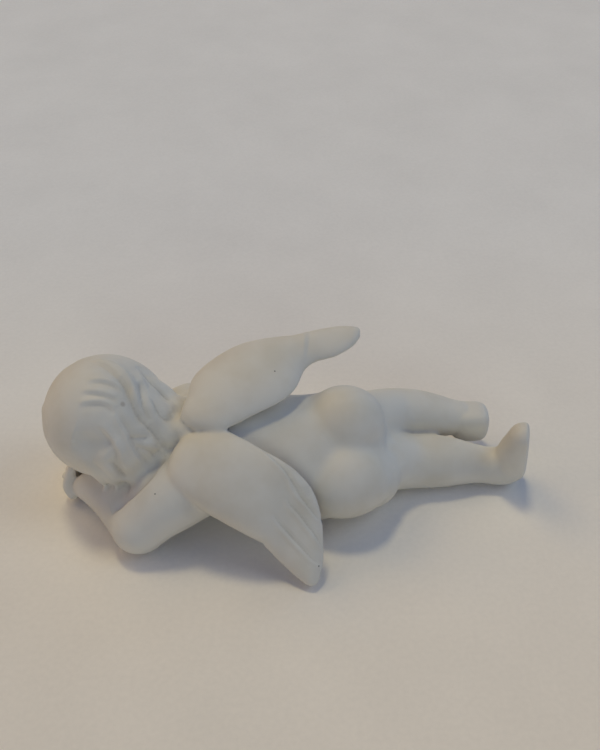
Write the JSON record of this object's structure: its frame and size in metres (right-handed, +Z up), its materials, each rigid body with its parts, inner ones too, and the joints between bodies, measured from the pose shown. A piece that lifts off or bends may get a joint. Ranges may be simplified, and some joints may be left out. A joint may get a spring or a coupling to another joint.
{
  "type": "porcelain angel figurine",
  "caption": "Unglazed white porcelain cherub lying on its front with its head on its hands, hair in wavy locks, one wing raised level and one drooping to the table.",
  "frame": {"origin": "middle of the figure's bounding box in plan, at the height of the flat patches it rests on", "axes": "+X from the head towards the feet, +Y away from the side that the back leans to, +Z up"},
  "size_m": [0.1198, 0.0566, 0.0385],
  "materials": {
    "bisque_porcelain": "unglazed bisque, matt and very slightly satin"
  },
  "bodies": {
    "root": {"porcelain_angel": "bisque_porcelain"}
  },
  "joints": []
}
